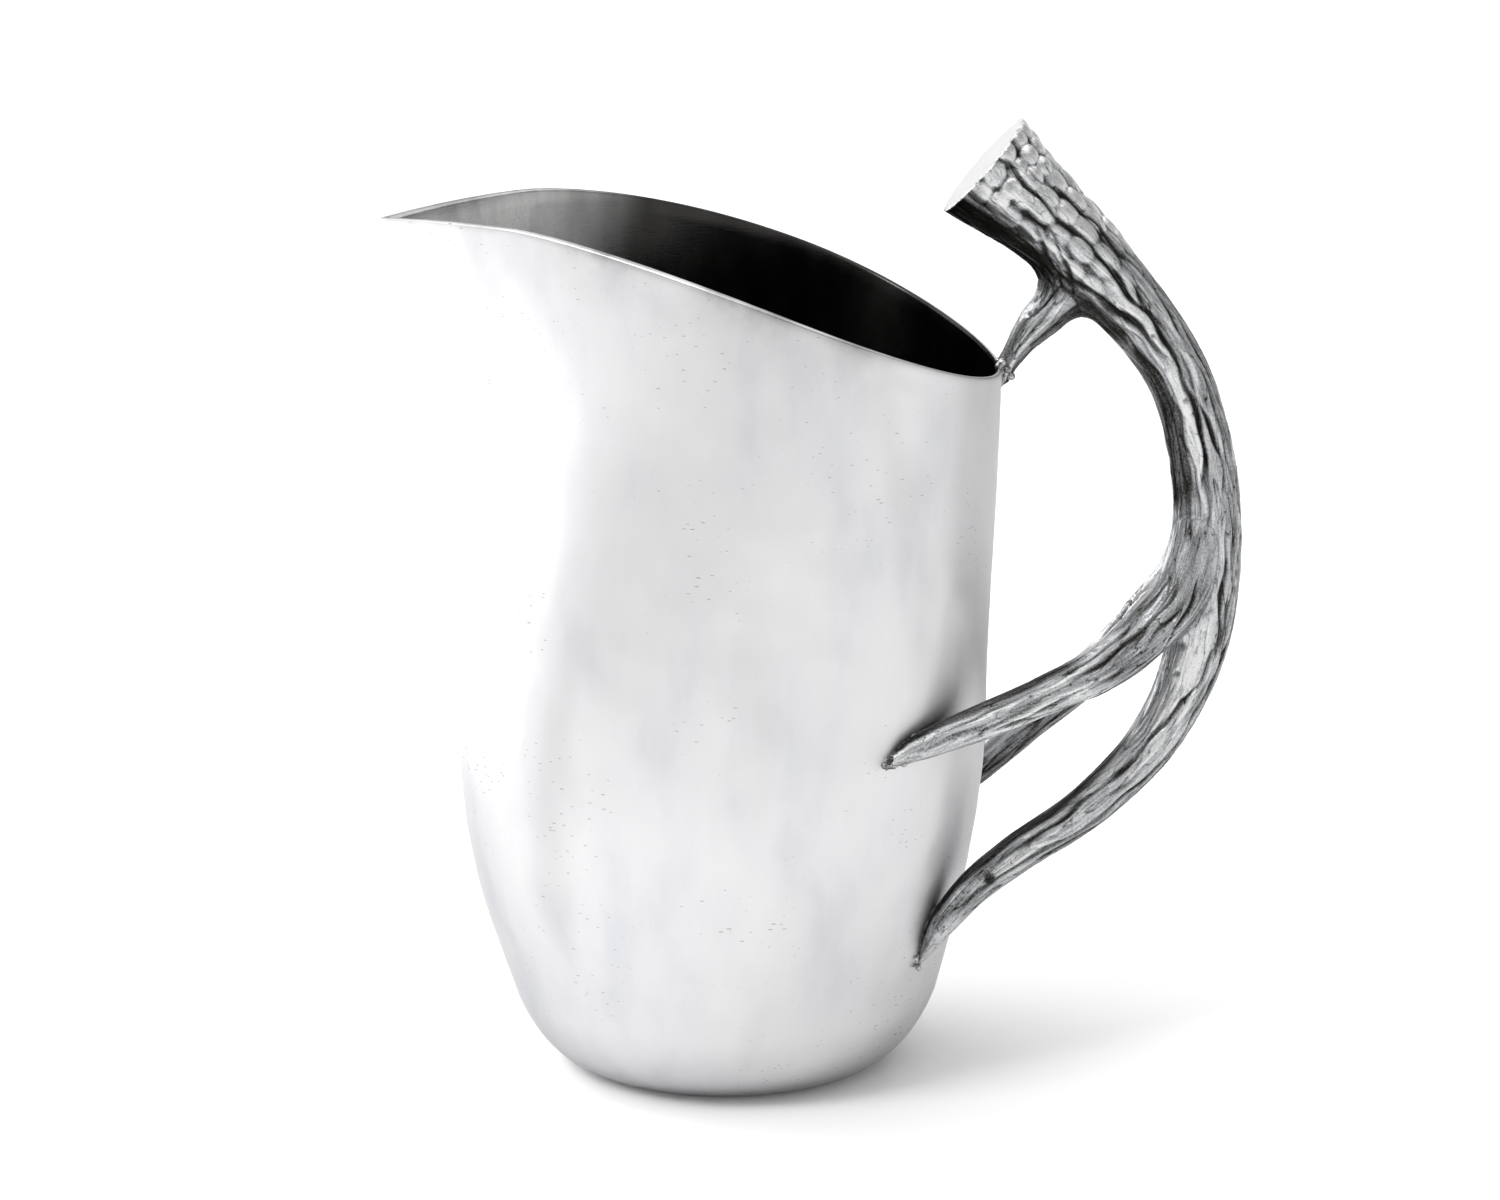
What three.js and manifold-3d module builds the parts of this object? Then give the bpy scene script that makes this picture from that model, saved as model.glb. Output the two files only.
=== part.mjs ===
// A pewter water pitcher with a handle cast as a deer antler, in millimetres.
// +Z is up, the spout points to -X and the handle is on the +X side.
// The origin is the centre of the flat foot, on the axis of the round base.
import * as THREE from "three";
import { mergeVertices } from "three/addons/utils/BufferGeometryUtils.js";
import Module from "manifold-3d";

const wasm = await Module();
wasm.setup();

// ---------------------------------------------------------------- driving sizes
const BODY_HEIGHT = 226; // top of the rim, behind the spout tip
const BODY_WIDTH = 138; // greatest width of the belly
const WALL = 1.8; // thickness of the body's sheet
const FOOT_RADIUS = 35; // outer edge of the flat ring the pitcher stands on
const ANTLER_GIRTH = 18; // thickness of the handle's main stem at the middle of the grip
const GAP = 0.3; // clearance between two pieces that touch

// The tables below are written for a body 226 high and 138 wide with an 18 mm stem.
// Another driving size stretches them, so the handle always meets the wall.
const TALL = BODY_HEIGHT / 226;
const WIDE = BODY_WIDTH / 138;
const THICK = ANTLER_GIRTH / 18;

// ---------------------------------------------------------------- body outline
// Height, then reach to the front, back and side, x of the widest point, and beak.
// Beak 0 is a plain oval; beak 1 draws the front half out to the pointed spout.
const STATIONS = [
  [20, 56, 56, 56, 0, 0],
  [50, 65.3, 63, 64.4, 0, 0],
  [80, 69.3, 67.5, 68.2, 0, 0],
  [110, 67.3, 68.4, 67.4, 1, 0],
  [135, 63.9, 69.4, 65.6, 5, 0.1],
  [158, 62.4, 70.5, 63.8, 10, 0.3],
  [175, 65.2, 71, 62.6, 14, 0.55],
  [190, 71.5, 71.3, 61.8, 18, 0.75],
  [206, 80.9, 71.5, 60.8, 21, 0.95],
  [226, 89.6, 71.8, 59.5, 24, 1],
];
const CORNER_HEIGHT = STATIONS[0][0] * TALL; // the rounded corner below here is turned
const CORNER_REACH = STATIONS[0][1] * WIDE;
const FOOT_RING = 3; // width of the ring of shell round the bottom disc
const BASE_RADIUS = FOOT_RADIUS - FOOT_RING;
const CORNER_FLARE = 0.42; // share of the corner's width that stays level
const CORNER_LEAN = 0.2; // share of the corner's width left where the wall starts to rise
const CORNER_RISE = 0.4; // share of the corner's height at that point

const RIM_HIGHEST_X = -54; // where the rim is at its highest
const RIM_BACK_X = 71.4;
const RIM_DROP = 41; // fall of the rim from its highest point to the handle
const RIM_SWEEP = 1.5; // power of that fall
const NOSE_DROP = 2.2; // fall of the rim from its highest point to the spout tip
const NOSE_LENGTH = 34;
const LIP_EXTRA = 2.2; // the spout tip is this much thicker than the wall
const RIM_ROUND = WALL / 3; // the rim's edges are eased by this much
const BEAK_POWER = 1.3; // how much sharper than an oval the beak is
const BEAK_BLUNT = 0.08; // share of a plain oval that blunts the beak
const BEAK_ONSET = 4; // how early in the beak's growth the blunting is complete

const AROUND = 48; // points round the body
const UP = 14; // rings between the corner and the rim
const UP_CORNER = 6; // rings in the rounded corner

const outline = new THREE.CubicInterpolant(
  STATIONS.map((station) => station[0] * TALL),
  STATIONS.flatMap(([, ...row]) => row.map((value, i) => (i < 4 ? value * WIDE : value))),
  5,
);

// Share of the side reach at an angle on the pointed front half.
function spoutSpread(sine, beak) {
  const power = 1 + BEAK_POWER * beak;
  const blunt = BEAK_BLUNT * Math.min(1, BEAK_ONSET * beak);
  return (1 - blunt) * sine ** power + blunt * sine;
}

// A point of the body wall; inward 0 is the outer face and inward WALL is the inner face.
function wallPoint(angle, height, inward) {
  const [front, back, side, widest, beak] = outline.evaluate(height);
  const cosine = Math.cos(angle);
  const sine = Math.abs(Math.sin(angle));
  const isBack = cosine >= 0;
  const lip = inward > 0 ? inward + (LIP_EXTRA * beak * inward) / WALL : inward;
  const reach = isBack ? back - inward - widest : front - lip + widest;
  const spread = isBack ? sine : spoutSpread(sine, beak);
  const y = (side - inward) * spread * Math.sign(Math.sin(angle));
  return new THREE.Vector3(widest + reach * cosine, y, height);
}

// Height of the rim above a given x.
function rimRule(x) {
  const behind = x / WIDE - RIM_HIGHEST_X;
  const fall =
    behind > 0
      ? RIM_DROP * (behind / (RIM_BACK_X - RIM_HIGHEST_X)) ** RIM_SWEEP
      : NOSE_DROP * (behind / NOSE_LENGTH) ** 2;
  return BODY_HEIGHT - fall * TALL;
}

// Height of the rim at an angle: the rule depends on x, and x on the height.
function rimHeight(angle) {
  let height = BODY_HEIGHT - RIM_DROP * TALL;
  for (let pass = 0; pass < 16; pass += 1) {
    height = (height + rimRule(wallPoint(angle, height, 0).x)) / 2;
  }
  return height;
}

function angles(count) {
  return Array.from({ length: count }, (_, i) => (2 * Math.PI * i) / count);
}

function roundRing(radius, height) {
  return angles(AROUND).map(
    (angle) => new THREE.Vector3(radius * Math.cos(angle), radius * Math.sin(angle), height),
  );
}

// One ring that follows the rim, this far below it.
function rimRing(below, inward) {
  return angles(AROUND).map((angle) => wallPoint(angle, rimHeight(angle) - below, inward));
}

// Rings from the foot up the rounded corner and the wall to just below the rim.
function wallRings(inward, floor, below) {
  const from = new THREE.Vector2(FOOT_RADIUS, floor);
  const to = new THREE.Vector2(CORNER_REACH - inward, CORNER_HEIGHT);
  const flare = new THREE.Vector2(from.x + CORNER_FLARE * (to.x - from.x), floor);
  const lean = to.x - CORNER_LEAN * (to.x - from.x);
  const rise = new THREE.Vector2(lean, floor + CORNER_RISE * (to.y - floor));
  const corner = new THREE.CubicBezierCurve(from, flare, rise, to);
  const rings = [];
  for (let step = 0; step < UP_CORNER; step += 1) {
    const { x, y } = corner.getPoint(step / UP_CORNER);
    rings.push(roundRing(x, y));
  }
  for (let step = 0; step < UP; step += 1) {
    rings.push(
      angles(AROUND).map((angle) => {
        const top = rimHeight(angle) - below;
        const height = CORNER_HEIGHT + ((top - CORNER_HEIGHT) * step) / UP;
        return wallPoint(angle, height, inward);
      }),
    );
  }
  rings.push(rimRing(below, inward));
  return rings;
}

// ---------------------------------------------------------------- solids
function centre(ring) {
  const sum = ring.reduce((total, point) => total.add(point), new THREE.Vector3());
  return sum.divideScalar(ring.length);
}

// A closed surface through rings of equal length.
// A loop joins the last ring to the first; otherwise both ends are closed to a point.
function loft(rings, { loop = false, lastTip } = {}) {
  const count = rings[0].length;
  const points = rings.flat();
  const faces = [];
  const bands = loop ? rings.length : rings.length - 1;
  for (let band = 0; band < bands; band += 1) {
    const here = band * count;
    const there = ((band + 1) % rings.length) * count;
    for (let i = 0; i < count; i += 1) {
      const next = (i + 1) % count;
      faces.push([here + i, here + next, there + next], [here + i, there + next, there + i]);
    }
  }
  if (!loop) {
    const last = rings.length - 1;
    points.push(centre(rings[0]), lastTip ?? centre(rings[last]));
    for (let i = 0; i < count; i += 1) {
      const next = (i + 1) % count;
      faces.push([next, i, points.length - 2]);
      faces.push([last * count + i, last * count + next, points.length - 1]);
    }
  }
  const geometry = new THREE.BufferGeometry().setFromPoints(points);
  geometry.setIndex(turnOutwards(points, faces).flat());
  return geometry;
}

// The same faces, wound so that they face out.
function turnOutwards(points, faces) {
  let volume = 0;
  for (const [a, b, c] of faces) {
    volume += points[a].dot(points[b].clone().cross(points[c]));
  }
  return volume < 0 ? faces.map(([a, b, c]) => [a, c, b]) : faces;
}

function solidOf(geometry) {
  geometry.deleteAttribute("normal");
  geometry.deleteAttribute("uv");
  const merged = mergeVertices(geometry);
  const mesh = new wasm.Mesh({
    numProp: 3,
    vertProperties: new Float32Array(merged.attributes.position.array),
    triVerts: new Uint32Array(merged.index.array),
  });
  return new wasm.Manifold(mesh);
}

function geometryOf(solid) {
  const { vertProperties, triVerts } = solid.getMesh();
  const geometry = new THREE.BufferGeometry();
  geometry.setAttribute("position", new THREE.BufferAttribute(vertProperties, 3));
  geometry.setIndex(new THREE.BufferAttribute(triVerts, 1));
  return geometry;
}

// The piece that is left when a cut drops loose scraps.
function largest(solid) {
  const parts = solid.decompose();
  parts.sort((a, b) => b.volume() - a.volume());
  return parts[0];
}

// The whole body filled solid and grown by an offset, used to shape what rests on it.
function filledBody(grow) {
  const shoulder = rimRing(-grow, 2 * WALL);
  return solidOf(loft([...wallRings(-grow, 0, -grow), shoulder]));
}

// ---------------------------------------------------------------- antler limbs
// Each limb is a row of x, y, z and radius along its middle line.
const STEM = [
  [65.6, 0.5, 237, 15.2],
  [82, 0, 223, 11.8],
  [101.5, 0, 203.6, 9.4],
  [116, 0, 183.8, 8.1],
  [123.2, 0, 160, 8.4],
  [125.2, 0, 137, 8.7],
  [122.7, -1, 111, 7.9],
  [112.4, -5.5, 88.2, 6.6],
  [94.6, -13, 71.1, 5.7],
  [75.1, -24, 61.2, 5],
  [63, -31, 53.8, 4.2],
  [55, -35, 45, 3.2],
  [50.3, -33.5, 35.5, 0.8],
];
const RIM_TINE = [
  [91.6, 0, 212, 8.4],
  [83.8, 0, 200.4, 5.5],
  [79.3, 0, 195.4, 4.7],
  [76.4, 0, 192, 3.7],
  [73.7, 0, 188.2, 2.7],
  [71.8, 0, 185.2, 2.1],
  [70.7, 0, 182.3, 1.5],
];
const NEAR_TINE = [
  [124.6, -2, 130.5, 8.6],
  [109.9, -9.5, 119.4, 7.5],
  [95.5, -20, 110.6, 5.8],
  [82, -28, 106.8, 4.8],
  [66, -38, 102.5, 4.3],
  [55, -45.5, 100.3, 3.7],
  [47, -51.5, 98.4, 2.8],
  [40.7, -55.1, 95.6, 0.8],
];
const FAR_TINE = [
  [124.6, 2, 132.1, 8.6],
  [111.2, 10, 119.4, 6.6],
  [99, 20, 101.2, 5.5],
  [80.6, 31, 81.3, 4.9],
  [66.3, 39, 65.6, 4.4],
  [55.3, 42.2, 56, 3.8],
  [49.2, 44.2, 50, 3],
  [44.8, 45.2, 44, 0.9],
];
const RIDGES = 5; // long ridges round a limb
const RIDGE_DEPTH = 0.05; // depth of the hollows between them, as a share of the radius
const LIMB_SIDES = 18;
const LIMB_STEP = 5.5; // distance between rings along a limb

const PLATE = 2.2; // thickness of the plate on the sawn end
const CORE_RADIUS = 8; // the stem is cast hollow behind the plate
const CORE_DEPTH = 22;
const PLATE_BOSS = 3; // the plate's boss reaches this far into the hollow
const PEG_RADIUS = 2.2; // each tine has a peg that fits a socket in the stem
const PEG_FROM = 5; // distance of the peg's inner end from the stem's middle line
const PEG_TO = 16;
const SOCKET_SPARE = 2; // each socket is this much deeper than its peg
const CUT_OVERLAP = 1; // a cut starts this far outside what it cuts
const TIP_LENGTH = 1; // a limb's last ring closes to a point this far ahead
const SOLDER_REACH = 1.5; // how far a solder fillet spreads past the tine
const SOLDER_HEIGHT = 1.3;

function limbPath(rows) {
  const places = rows.map(([x, y, z]) => new THREE.Vector3(x * WIDE, y * WIDE, z * TALL));
  return new THREE.CatmullRomCurve3(places);
}

// Middle line and radius of a limb at a distance along it.
function limbStation(rows, path, distance) {
  const t = path.getUtoTmapping(0, distance);
  const slot = Math.min(t * (rows.length - 1), rows.length - 1.001);
  const row = Math.floor(slot);
  const radius = THREE.MathUtils.lerp(rows[row][3], rows[row + 1][3], slot - row) * THICK;
  const along = path.getTangent(t);
  const across = new THREE.Vector3().crossVectors(along, new THREE.Vector3(0, 1, 0)).normalize();
  const beside = new THREE.Vector3().crossVectors(across, along);
  return { middle: path.getPoint(t), along, across, beside, radius };
}

// Part of a limb between two distances; radiusRule turns the radius at a ridge angle into a size.
function sweptLimb(rows, from, to, radiusRule, tipLength) {
  const path = limbPath(rows);
  const end = Math.min(to, path.getLength());
  const steps = Math.max(2, Math.ceil((end - from) / LIMB_STEP));
  const rings = [];
  for (let step = 0; step <= steps; step += 1) {
    const distance = from + ((end - from) * step) / steps;
    const { middle, across, beside, radius } = limbStation(rows, path, distance);
    rings.push(
      angles(LIMB_SIDES).map((angle) => {
        const size = radiusRule(radius, angle);
        return middle
          .clone()
          .addScaledVector(across, size * Math.cos(angle))
          .addScaledVector(beside, size * Math.sin(angle));
      }),
    );
  }
  const { middle, along } = limbStation(rows, path, end);
  return solidOf(loft(rings, { lastTip: middle.addScaledVector(along, tipLength) }));
}

// A ridged limb, grown by an offset.
function limb(rows, grow = 0, from = 0, to = Infinity) {
  const ridged = (radius, angle) => radius * (1 + RIDGE_DEPTH * Math.cos(RIDGES * angle)) + grow;
  return sweptLimb(rows, from, to, ridged, to === Infinity ? TIP_LENGTH + grow : 0);
}

// A plain round rod along a limb's middle line.
function rod(rows, radius, from, to) {
  return sweptLimb(rows, from, to, () => radius, 0);
}

// Everything past the pitcher's middle plane: side 1 is the far half and -1 the near half.
function beyondMiddle(side) {
  const size = 4 * BODY_HEIGHT;
  const block = new THREE.BoxGeometry(size, size, size);
  block.translate(0, side * (size / 2 - GAP / 2), 0);
  return solidOf(block);
}

// ---------------------------------------------------------------- sub-parts
function bodyShell() {
  const outside = wallRings(0, 0, RIM_ROUND);
  const inside = wallRings(WALL, WALL, RIM_ROUND).reverse();
  const lip = [rimRing(0, RIM_ROUND), rimRing(0, WALL - RIM_ROUND)];
  const hole = BASE_RADIUS + GAP;
  const rings = [roundRing(hole, 0), ...outside, ...lip, ...inside, roundRing(hole, WALL)];
  return loft(rings, { loop: true });
}

function baseDisc() {
  const disc = new THREE.CylinderGeometry(BASE_RADIUS, BASE_RADIUS, WALL, AROUND);
  disc.rotateX(Math.PI / 2);
  disc.translate(0, 0, WALL / 2);
  return disc;
}

// A bead of solder inside, over the joint between the disc and the foot ring.
function baseSolderSeam() {
  const low = WALL + GAP;
  const bead = [
    [BASE_RADIUS - 1.6, low],
    [FOOT_RADIUS - 0.6, low],
    [FOOT_RADIUS - 0.4, low + 0.7],
    [BASE_RADIUS + 0.9, low + 1.2],
    [BASE_RADIUS - 0.8, low + 0.8],
    [BASE_RADIUS - 1.6, low],
  ];
  const ring = new THREE.LatheGeometry(
    bead.map(([radius, height]) => new THREE.Vector2(radius, height)),
    AROUND,
  );
  ring.rotateX(Math.PI / 2);
  return ring;
}

function socket(rows) {
  return rod(rows, PEG_RADIUS + GAP, PEG_FROM - GAP, PEG_TO + SOCKET_SPARE);
}

// The stem and its lower tine are one casting, from the sawn end to the wall.
function antlerStem() {
  const start = PLATE + GAP;
  const core = rod(STEM, CORE_RADIUS, start - CUT_OVERLAP, CORE_DEPTH);
  return largest(
    limb(STEM, 0, start)
      .subtract(core)
      .subtract(socket(RIM_TINE))
      .subtract(socket(NEAR_TINE))
      .subtract(socket(FAR_TINE))
      .subtract(filledBody(GAP)),
  );
}

function sawnEndPlate() {
  const boss = rod(STEM, CORE_RADIUS - GAP, PLATE / 2, PLATE + GAP + PLATE_BOSS);
  return limb(STEM, 0, 0, PLATE).add(boss);
}

// A side tine: its root is hollowed to sit on the stem and carries a peg for the socket,
// and its tip is hollowed to lie against the body wall.
function tine(rows, cutters) {
  const shaped = cutters.reduce((solid, cutter) => solid.subtract(cutter), limb(rows));
  const peg = rod(rows, PEG_RADIUS, PEG_FROM, PEG_TO);
  return largest(shaped.subtract(limb(STEM, GAP)).subtract(filledBody(GAP))).add(peg);
}

// A fillet of solder round a tine, lying on the body wall.
function solderFillet(rows) {
  const layer = filledBody(GAP + SOLDER_HEIGHT).subtract(filledBody(GAP));
  return largest(limb(rows, SOLDER_REACH).intersect(layer).subtract(limb(rows, GAP)));
}

// ---------------------------------------------------------------- assembly
const polishedPewter = new THREE.MeshStandardMaterial({
  color: "#c9cacb",
  roughness: 0.22,
  metalness: 1,
});
const darkenedPewter = new THREE.MeshStandardMaterial({
  color: "#8b8c8e",
  roughness: 0.4,
  metalness: 1,
});
const solder = new THREE.MeshStandardMaterial({
  color: "#9c9d9e",
  roughness: 0.45,
  metalness: 1,
});

const group = new THREE.Group();

function addPart(name, geometry, material) {
  const mesh = new THREE.Mesh(geometry, material);
  mesh.name = name;
  group.add(mesh);
}

addPart("body_shell", bodyShell(), polishedPewter);
addPart("base_disc", baseDisc(), polishedPewter);
addPart("base_solder_seam", baseSolderSeam(), solder);
addPart("antler_stem", geometryOf(antlerStem()), darkenedPewter);
addPart("sawn_end_plate", geometryOf(sawnEndPlate()), polishedPewter);
addPart("rim_tine", geometryOf(tine(RIM_TINE, [])), darkenedPewter);
addPart("near_tine", geometryOf(tine(NEAR_TINE, [beyondMiddle(1)])), darkenedPewter);
addPart("far_tine", geometryOf(tine(FAR_TINE, [beyondMiddle(-1)])), darkenedPewter);
addPart("rim_solder", geometryOf(solderFillet(RIM_TINE)), solder);
addPart("near_solder", geometryOf(solderFillet(NEAR_TINE)), solder);
addPart("far_solder", geometryOf(solderFillet(FAR_TINE)), solder);
addPart("lower_solder", geometryOf(solderFillet(STEM)), solder);

export default group;
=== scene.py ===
# Looks for the pewter water pitcher with an antler handle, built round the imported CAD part.
import math

import bpy
import numpy as np
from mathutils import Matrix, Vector


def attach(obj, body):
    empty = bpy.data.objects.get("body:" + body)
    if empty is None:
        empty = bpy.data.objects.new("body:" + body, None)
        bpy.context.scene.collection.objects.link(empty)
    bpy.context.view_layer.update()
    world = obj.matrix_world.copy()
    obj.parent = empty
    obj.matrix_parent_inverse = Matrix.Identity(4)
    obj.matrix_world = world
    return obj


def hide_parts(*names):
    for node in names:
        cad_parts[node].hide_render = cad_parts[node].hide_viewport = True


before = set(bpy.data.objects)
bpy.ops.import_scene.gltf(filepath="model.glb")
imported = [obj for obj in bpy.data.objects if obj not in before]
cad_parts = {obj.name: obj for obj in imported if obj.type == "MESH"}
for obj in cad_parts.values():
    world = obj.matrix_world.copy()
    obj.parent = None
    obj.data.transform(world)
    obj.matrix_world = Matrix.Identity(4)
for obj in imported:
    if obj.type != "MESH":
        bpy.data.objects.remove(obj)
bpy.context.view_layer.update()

scene = bpy.context.scene

MM = 0.001  # shapes are worked out in millimetres and handed to Blender in metres

# ---- body sizes
WALL = 1.8  # thickness of the sheet
FOOT_RADIUS = 35.0
BASE_RADIUS = FOOT_RADIUS - 3.0  # the bottom disc, let into the ring of the foot
SEAM_GAP = 0.3  # between the disc and the shell
RIM_TOP = 226.0
RIM_HIGHEST_X = -54.0
RIM_BACK_X = 71.4
RIM_DROP = 41.0  # fall of the rim from its highest point to the handle
RIM_SWEEP = 1.5  # power of that fall
RIM_BACK = RIM_TOP - RIM_DROP  # height of the rim behind, where the handle meets it
NOSE_DROP = 2.2  # fall from the highest point to the spout tip
NOSE_LENGTH = 34.0
LIP_EXTRA = 2.2  # the spout tip is this much thicker than the wall
RIM_ROUND = 0.8  # the rim's edges are eased by this much
BEAK_POWER = 1.3  # how much sharper than an oval the beak is
BEAK_BLUNT = 0.08  # share of a plain oval that blunts the beak
BEAK_ONSET = 4.0  # how early in the beak's growth the blunting is complete
CORNER_FLARE = 0.42  # share of the rounded corner's width that stays level
CORNER_LEAN = 0.2  # share of its width left where the wall starts to rise
CORNER_RISE = 0.4  # share of its height at that point

# Height, then reach to the front, back and side, x of the widest point, and beak (0 oval, 1 pointed).
STATIONS = np.array([
    [20, 56, 56, 56, 0, 0],
    [50, 65.3, 63, 64.4, 0, 0],
    [80, 69.3, 67.5, 68.2, 0, 0],
    [110, 67.3, 68.4, 67.4, 1, 0],
    [135, 63.9, 69.4, 65.6, 5, 0.1],
    [158, 62.4, 70.5, 63.8, 10, 0.3],
    [175, 65.2, 71, 62.6, 14, 0.55],
    [190, 71.5, 71.3, 61.8, 18, 0.75],
    [206, 80.9, 71.5, 60.8, 21, 0.95],
    [226, 89.6, 71.8, 59.5, 24, 1],
])
CORNER_HEIGHT, CORNER_REACH = STATIONS[0][:2]

# ---- antler sizes
# Each limb is a row of x, y, z and radius along its middle line.
STEM = np.array([
    [65.6, 0.5, 237, 15.2],
    [82, 0, 223, 11.8],
    [101.5, 0, 203.6, 9.4],
    [116, 0, 183.8, 8.1],
    [123.2, 0, 160, 8.4],
    [125.2, 0, 137, 8.7],
    [122.7, -1, 111, 7.9],
    [112.4, -5.5, 88.2, 6.6],
    [94.6, -13, 71.1, 5.7],
    [75.1, -24, 61.2, 5],
    [63.1, -31, 53.6, 4.3],
    [55, -35, 45, 3.3],
    [50.3, -33.5, 35.5, 0.9],
])
RIM_TINE = np.array([
    [91.6, 0, 212, 6.8],
    [83.8, 0, 200.4, 5.5],
    [79.3, 0, 195.4, 4.7],
    [76.6, 0, 192, 3.7],
    [74.2, 0, 188.2, 3],
    [72.4, 0, 185.2, 2.6],
    [71.4, 0, 182.3, 2.1],
])
NEAR_TINE = np.array([
    [124.4, -0.8, 166, 3.6],
    [124.2, -2, 150, 5.7],
    [121.6, -4, 136.5, 7],
    [117.2, -6.6, 125.4, 7],
    [109.7, -9.8, 117.6, 6.8],
    [95.7, -20, 109.4, 5.9],
    [82.2, -28, 105.2, 5],
    [66.2, -38, 101, 4.6],
    [55, -45.5, 98.7, 4],
    [47, -51.5, 96.9, 3],
    [41.5, -54.9, 94.9, 1.2],
])
FAR_TINE = np.array([
    [124.4, 0.8, 166, 3.6],
    [124.4, 2, 150, 5.5],
    [122, 4, 136.5, 6.5],
    [117.6, 6.4, 126.4, 6.4],
    [111.2, 10, 117.6, 5.9],
    [99, 20, 100.6, 5.3],
    [80.6, 31, 81, 4.9],
    [66.3, 39, 65.6, 4.4],
    [55.3, 42.2, 56, 3.8],
    [49.2, 44.2, 50, 3],
    [44.8, 45.2, 44, 0.9],
])
PLATE = 2.2  # thickness of the polished plate on the sawn end


# ---- curves and noise
def round_turns(count):
    """Evenly spaced angles all the way round."""
    return np.arange(count) / count * 2 * math.pi


def lengths(vectors):
    return np.linalg.norm(vectors, axis=1)


def travel(points):
    """Distance along a line at each of its points."""
    return np.concatenate([[0], np.cumsum(lengths(np.diff(points, axis=0)))])


def dot(first, second):
    return (first * second).sum(1)


def smooth(low, high, x):
    """A smooth rise from 0 at low to 1 at high."""
    t = np.clip((x - low) / (high - low), 0, 1)
    return t * t * (3 - 2 * t)


def spline(knots, rows, x):
    """A smooth curve through rows at the knots, read at x."""
    slopes = np.gradient(rows, knots, axis=0)
    i = np.clip(np.searchsorted(knots, x) - 1, 0, len(knots) - 2)
    width = (knots[i + 1] - knots[i])[..., None]
    t = (x - knots[i])[..., None] / width
    start = (2 * t**3 - 3 * t**2 + 1) * rows[i] + (t**3 - 2 * t**2 + t) * width * slopes[i]
    end = (3 * t**2 - 2 * t**3) * rows[i + 1] + (t**3 - t**2) * width * slopes[i + 1]
    return start + end


def noise(points, seed=0):
    """Smooth noise between about -1 and 1, the same on every run."""
    cell = np.floor(points).astype(np.int64)
    part = points - cell
    fade = part**3 * (part * (part * 6 - 15) + 10)
    total = np.zeros(len(points))
    for corner in np.ndindex(2, 2, 2):
        c = cell + np.array(corner)
        key = c[:, 0] * 374761393 + c[:, 1] * 668265263 + c[:, 2] * 2147483647 + seed * 1274126177
        key = (key ^ (key >> 13)) * 1274126177
        key = (key ^ (key >> 16)) & 0xFFFFFF
        turn = key / 0xFFFFFF * 2 * math.pi
        lift = ((key * 97) & 0xFFFF) / 0xFFFF * 2 - 1
        flat = np.sqrt(1 - lift**2)
        grad = np.stack([flat * np.cos(turn), flat * np.sin(turn), lift], 1)
        weight = np.prod(np.where(np.array(corner) == 1, fade, 1 - fade), axis=1)
        total += weight * np.sum(grad * (part - np.array(corner)), 1)
    return total * 1.5


# ---- body shape
def spout_spread(sine, beak):
    """Share of the side reach at an angle on the pointed front half."""
    power = 1 + BEAK_POWER * beak
    blunt = BEAK_BLUNT * np.minimum(1, BEAK_ONSET * beak)
    return (1 - blunt) * sine**power + blunt * sine


def section(height):
    """Reach to the front, back and side, x of the widest point, and beak at each height."""
    return np.moveaxis(spline(STATIONS[:, 0], STATIONS[:, 1:], height), -1, 0)


def wall_point(angle, height, inward):
    """A point of the body wall; inward 0 is the outer face and WALL is the inner face."""
    front, back, side, widest, beak = section(height)
    cosine, sine = np.cos(angle), np.abs(np.sin(angle))
    lip = inward + LIP_EXTRA * beak * inward / WALL
    reach = np.where(cosine >= 0, back - inward - widest, front - lip + widest)
    spread = np.where(cosine >= 0, sine, spout_spread(sine, beak))
    y = (side - inward) * spread * np.sign(np.sin(angle))
    return np.stack([widest + reach * cosine, y, np.broadcast_to(height, y.shape)], -1)


def rim_height(angle):
    """Height of the rim at each angle, found by repeated halving."""
    height = np.full(np.shape(angle), RIM_TOP - RIM_DROP)
    for _ in range(24):
        behind = wall_point(angle, height, 0)[..., 0] - RIM_HIGHEST_X
        fall = np.where(
            behind > 0,
            RIM_DROP * (np.abs(behind) / (RIM_BACK_X - RIM_HIGHEST_X)) ** RIM_SWEEP,
            NOSE_DROP * (behind / NOSE_LENGTH) ** 2,
        )
        height = (height + RIM_TOP - fall) / 2
    return height


AROUND = 380  # points round the body
ANGLES = round_turns(AROUND)
RIM_HEIGHTS = rim_height(ANGLES)


def round_row(radius, height):
    return np.stack([radius * np.cos(ANGLES), radius * np.sin(ANGLES), np.full(AROUND, height)], -1)


def corner_rows(inward, floor, count):
    """Rows up the rounded corner, from the flat foot to the wall."""
    start = np.array([FOOT_RADIUS, floor])
    end = np.array([CORNER_REACH - inward, CORNER_HEIGHT])
    flare = np.array([start[0] + CORNER_FLARE * (end[0] - start[0]), floor])
    rise = np.array([end[0] - CORNER_LEAN * (end[0] - start[0]), floor + CORNER_RISE * (end[1] - floor)])
    rows = []
    for t in np.arange(count) / count:
        r, z = (1 - t) ** 3 * start + 3 * (1 - t) ** 2 * t * flare + 3 * (1 - t) * t * t * rise + t**3 * end
        rows.append(round_row(r, z))
    return rows


def side_rows(inward, below, count):
    """Rows up the wall, each one a step nearer to the line of the rim."""
    rows = []
    for t in np.arange(count) / count:
        height = CORNER_HEIGHT + (RIM_HEIGHTS - below - CORNER_HEIGHT) * t
        rows.append(wall_point(ANGLES, height, inward))
    return rows


def rim_row(below, inward):
    return wall_point(ANGLES, RIM_HEIGHTS - below, inward)


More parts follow.
